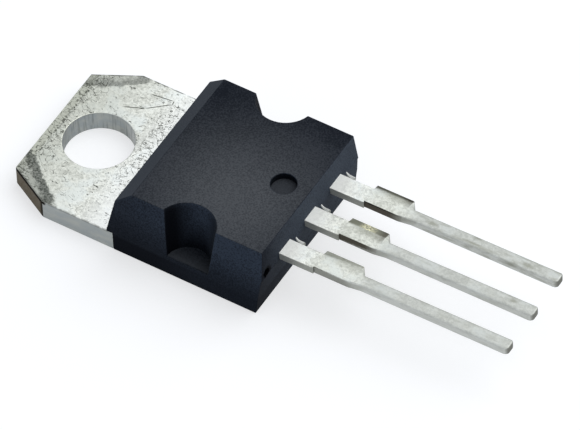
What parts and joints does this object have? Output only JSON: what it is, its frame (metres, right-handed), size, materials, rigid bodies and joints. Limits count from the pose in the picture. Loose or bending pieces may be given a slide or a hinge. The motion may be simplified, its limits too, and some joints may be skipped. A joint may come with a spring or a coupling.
{
  "type": "power transistor",
  "caption": "Flat power transistor: black moulded body on a metal heat-sink tab with a mounting hole, and a row of flat leads; switches or amplifies current.",
  "frame": {"origin": "where the axis of the mounting hole meets the back face of the tab", "axes": "+X from the tab to the leads, +Y across the package towards the emitter lead, +Z out of the front face; it lies on its back at z = 0"},
  "size_m": [0.0292, 0.01, 0.0045],
  "materials": {
    "epoxy_moulding": "matte black filled epoxy, fine moulded texture",
    "tinned_copper": "matte tin plate over copper, scratched, with bare copper at the cut edges",
    "silicon": "polished silicon",
    "soft_solder": "dull grey solder",
    "aluminium_wire": "drawn aluminium"
  },
  "bodies": {
    "root": {"moulded_body": "epoxy_moulding", "tab_with_collector_lead": "tinned_copper", "base_lead": "tinned_copper", "emitter_lead": "tinned_copper", "silicon_die": "silicon", "die_solder": "soft_solder", "base_bond_wire": "aluminium_wire", "emitter_bond_wire": "aluminium_wire"}
  },
  "joints": []
}
